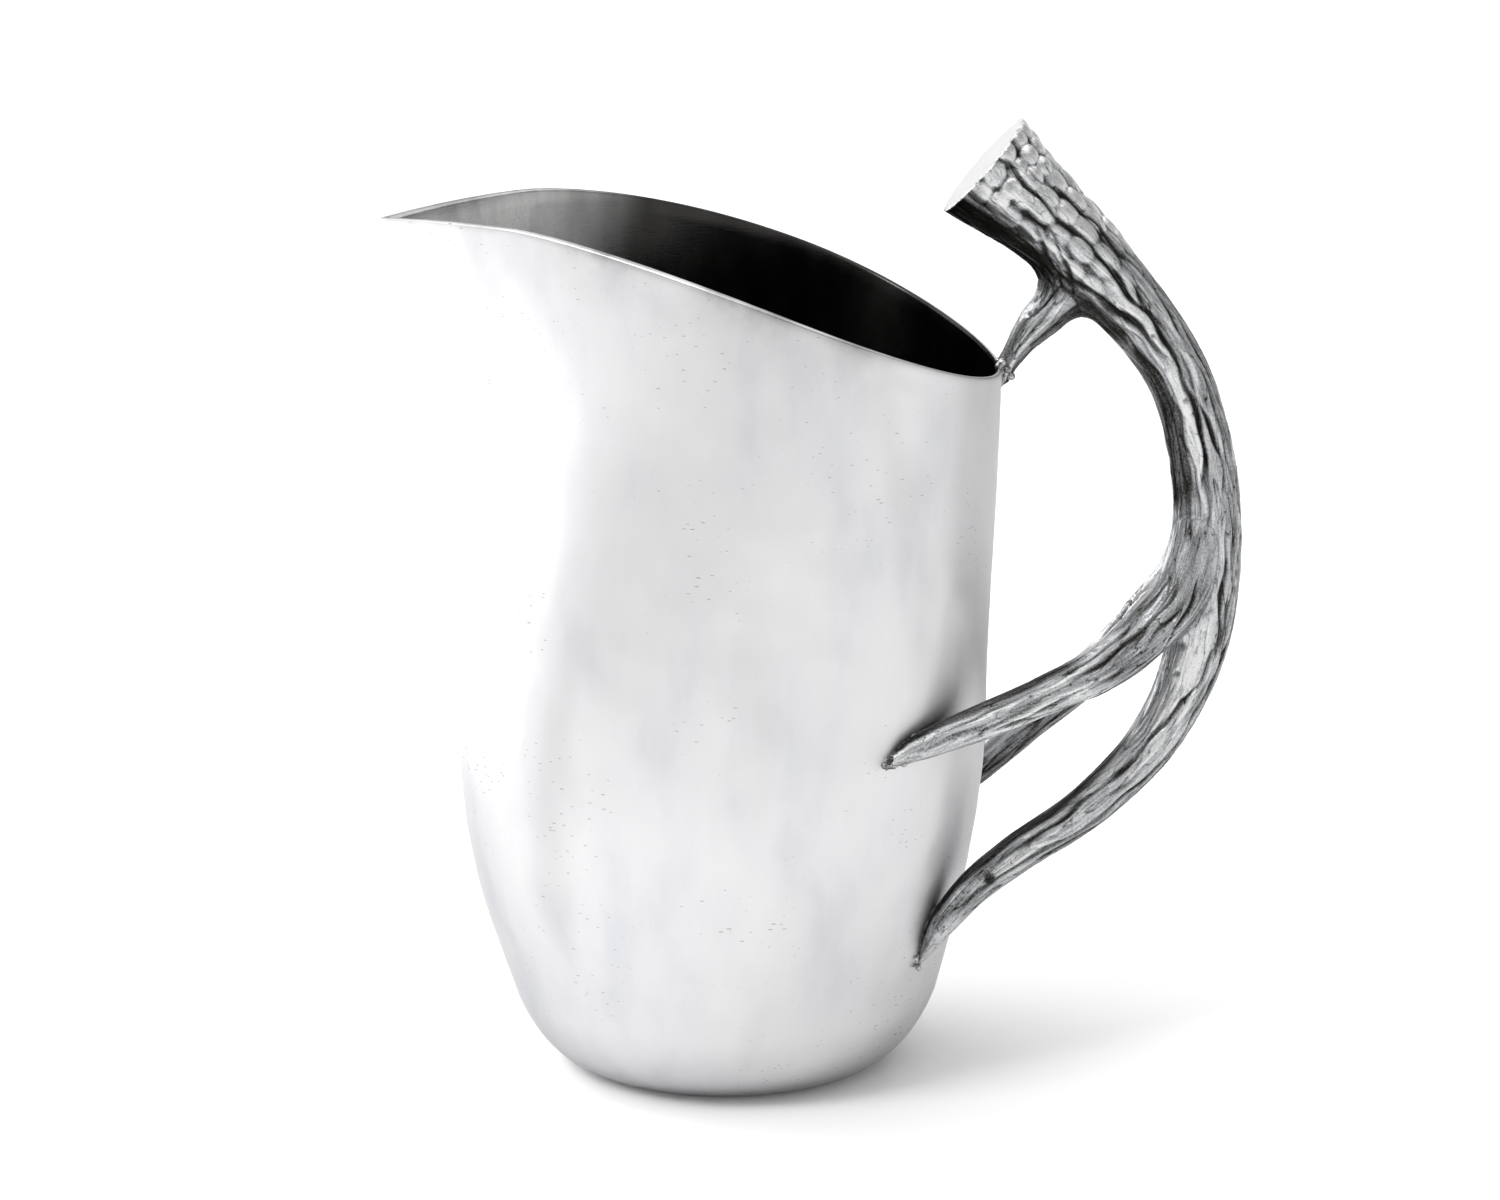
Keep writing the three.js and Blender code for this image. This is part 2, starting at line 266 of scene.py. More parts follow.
def wall_distance(points):
    """Distance from the outer face of the body, in millimetres, positive outside."""
    angle = np.arctan2(points[:, 1], points[:, 0])
    _, back, side, widest, _ = section(np.clip(points[:, 2], CORNER_HEIGHT, RIM_TOP))
    across = np.maximum(back - widest, 1)
    shape = np.sqrt(((points[:, 0] - widest) / across) ** 2 + (points[:, 1] / side) ** 2)
    return (shape - 1) * np.hypot(points[:, 0] - widest, points[:, 1]) / np.maximum(shape, 1e-6)


# ---- hammer marks
BLOW_STEP = 11.0  # height from one row of hammer blows to the next
BLOW_RADIUS = 9.0
BLOW_DEPTH = 0.14
BLOW_COUNT = 37  # blows in each row round the body
blows_random = np.random.default_rng(41)


def hammer_blows():
    """Centres, radii and depths of the blows, in rows round the body."""
    found = []
    for height in np.arange(8, RIM_TOP + 6, BLOW_STEP):
        turn = blows_random.uniform(0, 2 * math.pi)
        for k in range(BLOW_COUNT):
            angle = turn + (k + blows_random.uniform(-0.35, 0.35)) / BLOW_COUNT * 2 * math.pi
            at = np.clip(height + blows_random.uniform(-4, 4), CORNER_HEIGHT, RIM_TOP)
            x, y, z = wall_point(np.array([angle]), np.array([at]), 0)[0]
            size = BLOW_RADIUS * blows_random.uniform(0.7, 1.35)
            found.append([x, y, min(z, height + 4), size, BLOW_DEPTH * blows_random.uniform(0.3, 1.2)])
    return np.array(found)


BLOWS = hammer_blows()


def hammer_depth(points):
    """How far the blows have pushed in the wall."""
    depths = []
    for start in range(0, len(points), AROUND * 4):
        part = points[start : start + AROUND * 4]
        low, high = part[:, 2].min() - 2 * BLOW_RADIUS, part[:, 2].max() + 2 * BLOW_RADIUS
        near = BLOWS[(BLOWS[:, 2] > low) & (BLOWS[:, 2] < high)]
        square = ((part[:, None] - near[:, :3]) ** 2).sum(-1)
        dent = np.clip(1 - square / near[:, 3] ** 2, 0, None) ** 1.5 * near[:, 4]
        depths.append(dent.max(1) * 0.6 + dent.sum(1) * 0.4)
    return np.concatenate(depths)


# ---- antler shape
SAMPLE = 1.5  # distance between samples of a limb's middle line
SKIP = 3  # the first search looks at every third sample
BATCH = 20000  # points handled at a time


class Limb:
    """The middle line of one limb, sampled finely."""

    def __init__(self, rows):
        chord = travel(rows[:, :3])
        fine = spline(chord, rows, np.linspace(0, chord[-1], int(chord[-1] / SAMPLE) + 2))
        self.middle, self.radius = fine[:, :3], np.maximum(fine[:, 3], 0.6)
        self.along = np.gradient(self.middle, axis=0)
        self.along /= lengths(self.along)[:, None]
        self.distance = travel(self.middle)
        self.length = self.distance[-1]
        self.spacing = self.length / (len(self.middle) - 1)
        across = np.cross(self.along, [0.0, 1.0, 0.0])
        self.across = across / lengths(across)[:, None]
        self.beside = np.cross(self.across, self.along)

    def locate(self, points):
        """Gap to the surface, distance along, and angle round the limb, for each point."""
        gap, run, angle = np.empty((3, len(points)))
        coarse = self.middle[::SKIP].astype(np.float32)
        half_square = (coarse**2).sum(1) * 0.5
        last = len(self.middle) - 1
        for start in range(0, len(points), BATCH):
            part = slice(start, start + BATCH)
            p = points[part]
            closeness = p.astype(np.float32) @ coarse.T - half_square
            i = np.minimum(closeness.argmax(1) * SKIP, last)
            for _ in range(2):
                shift = dot(p - self.middle[i], self.along[i])
                i = np.clip(i + np.round(shift / self.spacing).astype(int), 0, last)
            shift = dot(p - self.middle[i], self.along[i])
            s = np.clip(self.distance[i] + np.clip(shift, -self.spacing, self.spacing), 0, self.length)
            centre = self.middle[i] + self.along[i] * (s - self.distance[i])[:, None]
            out = p - centre
            gap[part] = lengths(out) - np.interp(s, self.distance, self.radius)
            run[part] = s
            angle[part] = np.arctan2(dot(out, self.beside[i]), dot(out, self.across[i]))
        return gap, run, angle


LIMBS = {
    "antler_stem": Limb(STEM),
    "rim_tine": Limb(RIM_TINE),
    "near_tine": Limb(NEAR_TINE),
    "far_tine": Limb(FAR_TINE),
}
BLENDS = {"rim_tine": 7.0, "near_tine": 3.0, "far_tine": 3.0}  # size of the fillet at each root
END_POINT = STEM[0, :3]
END_NORMAL = -LIMBS["antler_stem"].along[0]


def soft_min(a, b, size):
    h = np.maximum(size - np.abs(a - b), 0) / size
    return np.minimum(a, b) - h * h * size / 4


WALL_CLEARANCE = 0.25  # between the antler and the wall


def body_gap(points):
    """Distance from the outside of the body near the handle; the space over the rim counts as outside."""
    return np.maximum(wall_distance(points), points[:, 2] - RIM_BACK)


def antler_gap(points):
    """Distance to the whole antler's surface, all limbs blended, cut by the sawn end and the wall."""
    total = LIMBS["antler_stem"].locate(points)[0]
    for name, size in BLENDS.items():
        total = soft_min(total, LIMBS[name].locate(points)[0], size)
    sawn = (points - END_POINT) @ END_NORMAL
    return np.maximum(np.maximum(total, sawn), WALL_CLEARANCE - body_gap(points))


BLOCK = 4  # grid points along the side of a block that is sampled or skipped as one
FAR = 50.0  # stands for any distance well away from the surface


def lattice(*ranges):
    return np.array(np.meshgrid(*ranges, indexing="ij")).reshape(3, -1).T


def sample_grid(field, low, step, shape):
    """The field on a grid of this shape, worked out only in the blocks near the surface."""
    values = np.full(shape, FAR, np.float32)
    starts = lattice(*[range(0, n, BLOCK) for n in shape])
    middles = field(low + (starts + BLOCK / 2) * step)
    near = np.abs(middles) < BLOCK * step + 1.2
    for a, b, c in starts[~near][middles[~near] < 0]:
        values[a : a + BLOCK, b : b + BLOCK, c : c + BLOCK] = -FAR
    cells = (starts[near][:, None] + lattice(*[range(BLOCK)] * 3)).reshape(-1, 3)
    cells = cells[(cells < np.array(shape)).all(1)]
    values[tuple(cells.T)] = field(low + cells * step)
    return values


def net_points(values):
    """A point in each cell that the zero level crosses, in grid steps, and each cell's point number."""
    inside = values < 0
    corners = np.array(list(np.ndindex(2, 2, 2)))
    n = np.array(values.shape) - 1
    count = np.zeros(tuple(n), np.int8)
    for a, b, c in corners:
        count += inside[a : a + n[0], b : b + n[1], c : c + n[2]]
    active = np.argwhere((count > 0) & (count < 8))
    index = np.full(tuple(n), -1, np.int64)
    index[tuple(active.T)] = np.arange(len(active))
    level = np.stack([values[tuple((active + c).T)] for c in corners], 1)
    total = np.zeros((len(active), 3))
    crossings = np.zeros(len(active))
    for i, j in np.argwhere(np.abs(corners[:, None] - corners).sum(-1) == 1):
        if i < j:
            a, b = level[:, i], level[:, j]
            cross = (a < 0) != (b < 0)
            t = np.where(cross, a / np.where(cross, a - b, 1), 0)[:, None]
            total += np.where(cross[:, None], corners[i] + t * (corners[j] - corners[i]), 0)
            crossings += cross
    return active + total / crossings[:, None], index


def net_quads(inside, index):
    """A quad round each grid edge that the surface crosses, joining the points of its four cells."""
    n = index.shape
    quads = []
    for axis in range(3):
        u, v = (axis + 1) % 3, (axis + 2) % 3
        change = inside != np.roll(inside, -1, axis)
        change[tuple(slice(-1, None) if k == axis else slice(None) for k in range(3))] = False
        at = np.argwhere(change)
        at = at[(at[:, u] > 0) & (at[:, v] > 0) & (at[:, u] < n[u]) & (at[:, v] < n[v])]
        step_u, step_v = np.eye(3, dtype=int)[u], np.eye(3, dtype=int)[v]
        ring = [at - step_u - step_v, at - step_v, at, at - step_u]
        quad = np.stack([index[tuple(r.T)] for r in ring], 1)
        flip = ~inside[tuple(at.T)]
        quad[flip] = quad[flip][:, ::-1]
        quads.append(quad)
    return np.concatenate(quads)


def surface_nets(field, low, high, step):
    """A closed quad mesh of the zero level of field(points), inside the box from low to high."""
    low, high = np.array(low, float), np.array(high, float)
    values = sample_grid(field, low, step, tuple(np.ceil((high - low) / step).astype(int)))
    points, index = net_points(values)
    return low + points * step, net_quads(values < 0, index)


TETRAHEDRON = np.array([[1, 1, 1], [1, -1, -1], [-1, 1, -1], [-1, -1, 1]]) / math.sqrt(3)


def field_slope(field, points, reach=0.4):
    """Gradient of the field, from four samples round each point."""
    samples = [field(points + reach * corner) for corner in TETRAHEDRON]
    return sum(value[:, None] * corner for value, corner in zip(samples, TETRAHEDRON)) * 0.75 / reach


def subdivide(verts, quads):
    """Each quad split into four, with shared points on its edges."""
    count = len(verts)
    edges = np.sort(np.stack([quads, np.roll(quads, -1, 1)], -1).reshape(-1, 2), axis=1)
    keys, back = np.unique(edges[:, 0] * count + edges[:, 1], return_inverse=True)
    middles = (verts[keys // count] + verts[keys % count]) / 2
    centres = verts[quads].mean(1)
    edge = count + back.reshape(-1, 4)
    centre = count + len(keys) + np.arange(len(quads))
    corners = [[quads[:, k], edge[:, k], centre, edge[:, k - 1]] for k in range(4)]
    return np.vstack([verts, middles, centres]), np.concatenate([np.stack(c, 1) for c in corners])


# ---- antler relief
pearl_random = np.random.default_rng(7)
PEARL_ROWS = 15
PEARL_TURN = 24.0  # degrees from one row of pearls to the next
PEARL_REACH = 54.0  # the pearled stretch below the sawn end


def pearl_table():
    """Distance along, angle, length, width and height of each pearl, in rows along the burr."""
    found = []
    for row in range(PEARL_ROWS):
        angle = -83 + PEARL_TURN * row
        run = pearl_random.uniform(1.2, 3.2)
        while run < PEARL_REACH:
            grown = smooth(4, 22, run)
            length = pearl_random.uniform(4.2, 5.6) * (1 + 0.55 * grown)
            width = pearl_random.uniform(0.85, 1.15)
            height = pearl_random.uniform(0.75, 1.25) * (1 - 0.6 * smooth(28, PEARL_REACH, run))
            found.append([run, angle + pearl_random.uniform(-4, 4), length, width, height])
            run += length * pearl_random.uniform(0.86, 1.05)
    return np.array(found)


PEARLS = pearl_table()


def wrapped(degrees):
    return (degrees + 180) % 360 - 180


def pearl_lift(run, angle):
    """Height of the pearls over the valleys between them, 0 in the valleys."""
    lift = np.zeros(len(run))
    for at, turn, length, width, height in PEARLS:
        side = wrapped(angle - turn) / (PEARL_TURN * 0.6 * width)
        ahead = (run - at) / (length * 0.6)
        dome = np.clip(1 - side**2 - ahead**2, 0, None) ** 0.6
        lift = np.maximum(lift, dome * height)
    return lift


# Grooves: half width and depth in mm, then the runs and angles of points along each, by turns.
GROOVES = {
    "antler_stem": [
        (0.55, 1.3, -2, -71, 20, -71, 40, -72, 60, -76, 85, -85, 105, -88, 119, -101),
        (0.5, 1.0, 6, -56, 18, -47, 35, -38, 52, -34, 66, -40),
        (0.5, 0.8, 47, -62, 70, -70, 80, -71, 96, -58, 112, -60, 128, -66, 140, -62),
        (0.45, 0.6, 46, -28, 80, -27, 97, -22, 115, -25, 135, -24, 160, -36),
        (0.4, 0.45, 70, -48, 90, -42, 110, -44, 126, -47, 150, -52),
        (0.4, 0.4, 60, -12, 90, -8, 120, -10, 150, -14, 176, -26),
        (0.75, 1.2, 35, -124, 45, -111, 57, -100, 70, -97),
        (0.4, 0.5, 48, -133, 66, -125, 80, -121, 100, -109, 116, -113),
        (0.6, 0.8, 17, -98, 24, -112, 31, -130, 38, -150),
        (0.5, 0.7, 21, -86, 27, -99, 34, -124, 40, -142),
        (0.55, 0.9, 134, -70, 146, -54, 157, -74, 167, -95, 181, -113, 202, -125, 232, -118),
        (0.5, 0.7, 152, -34, 176, -43, 190, -58, 218, -68, 236, -84, 250, -90),
        (0.4, 0.5, 170, -20, 195, -38, 215, -48, 238, -56),
        (0.35, 0.4, 160, -62, 176, -76, 196, -92, 216, -98, 228, -100),
        (0.4, 0.9, 236, -89, 242, -84, 248, -80),
    ],
    "rim_tine": [
        (0.45, 0.7, 8, -112, 14, -119, 21, -127, 31, -124),
        (0.4, 0.5, 10, -98, 22, -97, 31, -101),
        (0.4, 0.5, 8, -60, 20, -52, 30, -58),
        (0.5, 0.6, 6, 110, 14, 120, 28, 126),
        (0.4, 0.5, 8, 60, 20, 52, 30, 58),
    ],
    "near_tine": [
        (0.5, 0.8, 37, -78, 46, -64, 56, -44, 67, -32, 80, -24, 96, -46, 112, -76),
        (0.5, 0.7, 40, -108, 48, -114, 66, -118, 82, -116, 100, -90, 114, -84),
        (0.4, 0.5, 44, -88, 60, -84, 78, -78, 96, -68, 108, -60),
        (0.4, 0.5, 58, -150, 78, -140, 98, -132, 118, -130, 128, -120),
        (0.4, 0.4, 74, -100, 92, -104, 110, -106, 126, -100),
        (0.45, 0.6, 44, 70, 64, 62, 94, 74, 122, 80),
        (0.4, 0.5, 48, 20, 74, 12, 104, 4, 126, -10),
        (0.4, 0.5, 42, 130, 64, 122, 94, 128, 120, 134),
    ],
    "far_tine": [
        (0.6, 1.1, 42, 168, 50, 178, 58, 184, 68, 166, 82, 150),
        (0.4, 0.8, 42, -178, 50, -168, 56, -157, 66, -150),
        (0.5, 0.8, 44, -120, 74, -112, 100, -96, 124, -80, 142, -60),
        (0.5, 0.7, 74, -64, 98, -56, 120, -40, 138, -30),
        (0.4, 0.5, 84, -100, 104, -80, 126, -62),
        (0.45, 0.6, 42, 90, 74, 84, 104, 100, 138, 96),
        (0.4, 0.5, 46, 50, 74, 40, 108, 46, 138, 40),
        (0.4, 0.5, 50, 120, 84, 126, 118, 132),
    ],
}

# Single pits: run, angle, size and depth in mm.
PITS = {
    "antler_stem": [
        (235, -92, 1.3, 1.8), (80, -94, 0.6, 0.8), (84, -89, 0.5, 0.7), (61, -90, 0.6, 0.8),
        (99, -55, 0.5, 0.7), (208, -104, 0.5, 0.6), (228, -93, 0.5, 0.6), (148, -128, 0.8, 0.6),
        (156, -120, 0.7, 0.6),
    ],
    "rim_tine": [(15, -155, 0.7, 0.8), (17, -125, 0.6, 0.7), (19, -140, 0.6, 0.7), (23, -123, 0.5, 0.6)],
    "near_tine": [(77, -89, 0.6, 0.7), (88, -104, 0.5, 0.6), (96, -122, 0.5, 0.6)],
    "far_tine": [(48, -172, 1.0, 1.1), (53, -162, 0.9, 1.0), (58, -154, 0.8, 0.9)],
}

# Dark stretches: run and angle of both ends, half width in degrees, strength (under 0 is lighter).
DARK_BANDS = {
    "antler_stem": [
        # painted shade: the first two stem bands blacken the burr's underside, which faces the dark mouth
        (-2, 180, 30, 180, 76, 0.95), (30, 180, 44, 190, 60, 0.8), (24, -152, 60, -150, 34, 0.62),
        (60, -150, 112, -142, 33, 0.6), (112, -160, 150, -156, 16, 0.5), (180, 176, 262, 186, 42, 0.55),
        (30, 0, 250, 0, 64, 0.2), (44, 150, 118, 140, 26, 0.5), (228, -140, 262, -120, 30, 0.3),
        (150, 0, 230, 0, 40, 0.12), (134, -104, 172, -112, 26, -0.16), (60, -104, 112, -100, 14, -0.04),
    ],
    "rim_tine": [(4, 0, 44, 0, 66, 0.5), (8, 180, 28, 180, 74, -0.3), (27, 180, 40, 180, 100, 0.3)],
    "near_tine": [
        (78, 170, 144, 168, 52, 0.5), (34, -136, 64, -150, 34, 0.35), (34, -40, 78, -6, 30, 0.3),
        (64, 30, 134, 20, 50, 0.3), (20, -110, 76, -80, 62, 0.24),
    ],
    "far_tine": [
        (64, -30, 164, -20, 70, 0.3), (120, -110, 164, -100, 60, 0.4), (40, 180, 90, 180, 60, -0.25),
    ],
}


def groove_cut(grooves, run, angle, radius):
    """Depth in mm of the grooves, and the height share of the lips that stand along them."""
    cut, lip = np.zeros(len(run)), np.zeros(len(run))
    for number, (half_width, depth, *way) in enumerate(grooves):
        runs, turns = np.reshape(way, (-1, 2)).T
        sway = 3.0 * np.sin(run / 4.3 + 2.1 * number) + 2.2 * np.sin(run / 2.1 + 5.3 * number)
        off = np.abs(wrapped(angle - np.interp(run, runs, turns) - sway)) * math.pi / 180 * radius
        wide = half_width * (1 + 0.35 * np.sin(run / 3.1 + 1.7 * number))
        ends = smooth(runs[0] - 3, runs[0] + 4, run) * (1 - smooth(runs[-1] - 6, runs[-1] + 3, run))
        uneven = 0.8 + 0.3 * np.sin(run / 6.3 + 3.1 * number)
        cut = np.maximum(cut, np.exp(-((off / wide) ** 2)) * depth * ends * uneven)
        lip = np.maximum(lip, np.exp(-(((off - 2.4 * wide) / (1.3 * wide)) ** 2)) * depth * ends)
    return cut, lip


def pit_cut(pits, run, angle, radius):
    """Depth in mm of the single pits."""
    cut = np.zeros(len(run))
    for at, turn, size, depth in pits:
        off = wrapped(angle - turn) * math.pi / 180 * radius
        cut = np.maximum(cut, np.exp(-((off**2 + (run - at) ** 2) / size**2)) * depth)
    return cut


def dark_share(bands, run, angle):
    """How much the bands darken each point, from 0 to 1; a band under 0 lightens it."""
    share = np.zeros(len(run))
    for start, start_turn, end, end_turn, half_width, strength in bands:
        centre = start_turn + (end_turn - start_turn) * np.clip((run - start) / (end - start), 0, 1)
        side = np.abs(wrapped(angle - centre)) / half_width
        ends = smooth(start - 5, start + 6, run) * (1 - smooth(end - 6, end + 5, run))
        amount = (1 - smooth(0.55, 1.15, side)) * ends * strength
        share = np.maximum(share, amount) if strength > 0 else share + amount
    return share


LAYERS = 13  # layer lines round each limb


def relief(name, run, turn, radius, seed):
    """Height of the surface detail and how dark each point is (0 rubbed bright, 1 black), the painted shade
    of the dark bands included.
    """
    ring = np.stack([np.cos(turn), np.sin(turn)], 1)
    girth = ring * radius[:, None]
    angle = np.degrees(turn)

    def pattern(sideways, ahead, number):
        return noise(np.column_stack([sideways, ahead]), seed + number)

    wander = pattern(ring * 1.3, run / 22, 5)[:, None] * 0.35
    broad = pattern(ring * 1.9 + wander, run / 46, 0)
    lines = pattern(ring * 1.5, run / 38, 1)
    fine = pattern(girth * 0.7 + wander, run / 12, 2)
    grain = pattern(girth * 1.6, run * 1.5, 3)
    flow = turn / (2 * math.pi) * LAYERS + 2.6 * lines + 0.5 * fine
    off_layer = np.abs(flow - np.round(flow))
    shown = smooth(-0.25, 0.25, pattern(ring * 2.2, run / 26, 7))
    hairline = np.exp(-((off_layer / 0.1) ** 2)) * shown
    swell = off_layer * 2 - 0.5
    slim = np.clip(radius / 8, 0.35, 1.1)
    cut, lip = groove_cut(GROOVES[name], run, angle, radius)
    cut = np.maximum(cut, pit_cut(PITS[name], run, angle, radius))
    dark = dark_share(DARK_BANDS[name], run, angle)
    pits = smooth(0.52, 0.75, grain) * (0.2 + dark)
    height = slim * (0.4 * broad - cut + 0.3 * lip - 0.3 * hairline + 0.3 * swell + 0.1 * fine)
    height += 0.04 * grain - 0.16 * pits - 0.12 * dark
    height *= smooth(0.6, 2, radius)
    shade = 0.3 + dark - 0.14 * broad - 0.12 * fine + 0.3 * hairline + 0.8 * cut - 0.12 * lip + 0.4 * pits
    shade = 0.2 + (shade - 0.2) * smooth(0.6, 2.2, radius)
    if name == "antler_stem":
        lift = pearl_lift(run, angle)
        pearled = (1 - smooth(36, PEARL_REACH, run)) * smooth(50, 76, 180 - np.abs(angle))
        pearls = 1.25 * lift - 0.75 + 0.05 * grain - 0.7 * cut + 0.25 * broad + 0.1 * fine
        valley = 0.95 - 1.15 * np.clip(lift, 0, 0.66)
        height = height * (1 - pearled) + pearls * pearled
        shade = shade * (1 - pearled) + (valley + 0.7 * cut - 0.15 * fine + 0.3 * pits) * pearled
    return height, np.clip(shade, 0, 1)


# ---- materials
class Tree:
    """The nodes of a material or the world, with a short way to add each kind."""

    def __init__(self, owner):
        owner.use_nodes = True
        self.nodes, self.links = owner.node_tree.nodes, owner.node_tree.links

    def add(self, kind, **inputs):
        """A new node, each named input linked to a socket or set to a value."""
        node = self.nodes.new("ShaderNode" + kind)
        for name, value in inputs.items():
            self.feed(node.inputs[name], value)
        return node

    def feed(self, socket, value):
        if isinstance(value, bpy.types.NodeSocket):
            self.links.new(value, socket)
        else:
            socket.default_value = value

    def ramp(self, value, *stops):
        """A colour ramp; stops are (position, grey or colour)."""
        node = self.add("ValToRGB", Fac=value)
        elements = node.color_ramp.elements
        while len(elements) < len(stops):
            elements.new(0.5)
        for element, (position, colour) in zip(elements, stops):
            element.position = position
            element.color = (*colour, 1) if isinstance(colour, tuple) else (colour, colour, colour, 1)
        return node.outputs["Color"]

    def place(self, stretch=(1, 1, 1)):
        """Object coordinates in metres, stretched."""
        where = self.add("TexCoord").outputs["Object"]
        return self.add("Mapping", Vector=where, Scale=stretch).outputs["Vector"]

    def attribute(self, name, output="Fac"):
        node = self.add("Attribute")
        node.attribute_name = name
        return node.outputs[output]

    def noise(self, where, scale, detail=3.0, rough=0.55):
        return self.add("TexNoise", Vector=where, Scale=scale, Detail=detail, Roughness=rough).outputs["Fac"]

    def mix(self, kind, share, first, second):
        node = self.add("Mix")
        node.data_type, node.blend_type = "RGBA", kind
        for name, value in (("Factor", share), ("A", first), ("B", second)):
            self.feed(node.inputs[name], (*value, 1) if isinstance(value, tuple) else value)
        return node.outputs["Result"]

    def math(self, kind, first, second=0.0):
        node = self.add("Math")
        node.operation = kind
        self.feed(node.inputs[0], first)
        self.feed(node.inputs[1], second)
        return node.outputs["Value"]

    def bump(self, height, distance, strength, **before):
        node = self.add("Bump", Height=height, Distance=distance, Strength=strength, **before)
        return node.outputs["Normal"]


class Metal(Tree):
    def __init__(self, name):
        self.material = bpy.data.materials.new(name)
        super().__init__(self.material)
        self.inputs = self.nodes["Principled BSDF"].inputs
        self.inputs["Metallic"].default_value = 1.0

    def finish(self, tone, rough, surface):
        for name, pattern in (("Base Color", tone), ("Roughness", rough), ("Normal", surface)):
            self.links.new(pattern, self.inputs[name])
        return self.material


def polished_pewter():
    """The planished body: satin bright and clouded, with short level scratches, tarnish under the rim and
    painted contact shadow by the soldered limbs.
    """
    metal = Metal("polished_pewter")
    even, upright = metal.place(), metal.place((1, 1, 0.4))
    clouds = metal.noise(upright, 55, 4, 0.55)
    greys = (0.615, 0.62, 0.64), (0.665, 0.66, 0.672), (0.70, 0.70, 0.705)
    tone = metal.ramp(clouds, *zip((0.3, 0.45, 0.7), greys))
    blots = metal.ramp(metal.noise(upright, 34, 2, 0.4), (0.6, 1.0), (0.78, 0.86))
    tone = metal.mix("MULTIPLY", 1.0, tone, blots)
    scratches = metal.add("TexVoronoi", Vector=metal.place((1, 1, 5)), Scale=210)
    reach = metal.ramp(metal.noise(even, 30, 3, 0.6), (0.42, 0.0), (0.7, 0.17))
    inside = metal.math("LESS_THAN", scratches.outputs["Distance"], reach)
    scratched = metal.mix("MIX", inside, (1.0, 1.0, 1.0), (0.5, 0.49, 0.48))
    tone = metal.mix("MULTIPLY", 1.0, tone, scratched)
    # the haze attribute darkens towards near black: tarnish under the rim, and painted contact shadow along
    # the soldered limbs
    haze_breakup = metal.ramp(metal.noise(even, 90, 4, 0.6), (0.3, 0.35), (0.7, 1.0))
    amount = metal.math("MULTIPLY", metal.attribute("haze"), haze_breakup)
    tone = metal.mix("MIX", amount, tone, (0.12, 0.115, 0.11))
    rough = metal.ramp(metal.noise(even, 60, 5, 0.6), (0.3, 0.34), (0.75, 0.42))
    metal.inputs["Specular Tint"].default_value = (0.52, 0.52, 0.52, 1)  # metals dip at a grazing angle
    metal.inputs["Anisotropic"].default_value = 0.7
    tangent = metal.add("Tangent")
    tangent.direction_type, tangent.axis = "RADIAL", "Z"
    metal.feed(metal.inputs["Tangent"], tangent.outputs["Tangent"])
    grain = metal.noise(even, 900, 2, 0.5)
    return metal.finish(tone, rough, metal.bump(grain, 0.00004, 0.3))


def inner_pewter():
    """The inside: painted shade, near black, further in and a painted reflection in the spout, with faint
    drawn lines round it.
    """
    metal = Metal("inner_pewter")
    clouds = metal.noise(metal.place((1, 1, 0.35)), 70, 5, 0.6)
    painted_shade_tone = metal.ramp(clouds, (0.3, (0.03, 0.029, 0.028)), (0.7, (0.06, 0.058, 0.056)))
    painted_reflection_tone = metal.ramp(clouds, (0.3, (0.22, 0.22, 0.22)), (0.7, (0.5, 0.5, 0.495)))
    # painted shade further in, painted reflection in the spout
    tone = metal.mix("MIX", metal.attribute("painted_inner_light"), painted_shade_tone, painted_reflection_tone)
    metal.inputs["Specular Tint"].default_value = (0.3, 0.3, 0.3, 1)
    rough = metal.ramp(clouds, (0.3, 0.2), (0.7, 0.3))
    lines = metal.noise(metal.place((1, 1, 12)), 220, 3, 0.6)
    return metal.finish(tone, rough, metal.bump(lines, 0.0001, 0.3))


def darkened_pewter():
    """The cast antler: dark in its hollows, rubbed bright on its ridges, with fine lines along it, and the
    painted shade of the dark bands.
    """
    metal = Metal("darkened_pewter")
    fibre = metal.attribute("fibre", "Vector")  # runs along the limb, in millimetres

    def along(stretch):
        return metal.add("Mapping", Vector=fibre, Scale=(1, 1, stretch)).outputs["Vector"]

    streaks = metal.noise(along(0.11), 0.55, 3, 0.55)
    layers = metal.math("MULTIPLY", metal.noise(along(0.09), 0.24, 2, 0.45), 11.0)
    lines = metal.ramp(
        metal.math("FRACT", layers), (0.0, 1.0), (0.07, 0.35), (0.14, 0.0), (0.97, 0.0), (1.0, 1.0)
    )
    speckle = metal.noise(metal.place(), 1900, 2, 0.6)
    # patina in the hollows, plus painted shade from the dark bands
    darkness = metal.attribute("patina_and_painted_shade")
    for pattern, middle, strength in ((streaks, 0.5, 0.95), (lines, 0.1, 0.42), (speckle, 0.5, 0.6)):
        share = metal.math("MULTIPLY", metal.math("SUBTRACT", pattern, middle), strength)
        darkness = metal.math("ADD", darkness, share)
    tone = metal.ramp(
        darkness, (0.04, (0.70, 0.70, 0.695)), (0.28, (0.46, 0.468, 0.478)), (0.5, (0.26, 0.267, 0.275)),
        (0.72, (0.11, 0.11, 0.108)), (0.95, (0.02, 0.019, 0.017)),
    )
    rough = metal.ramp(darkness, (0.1, 0.33), (0.8, 0.55))
    streaked = metal.bump(streaks, 0.0007, 0.5)
    return metal.finish(tone, rough, metal.bump(speckle, 0.00012, 0.5, Normal=streaked))


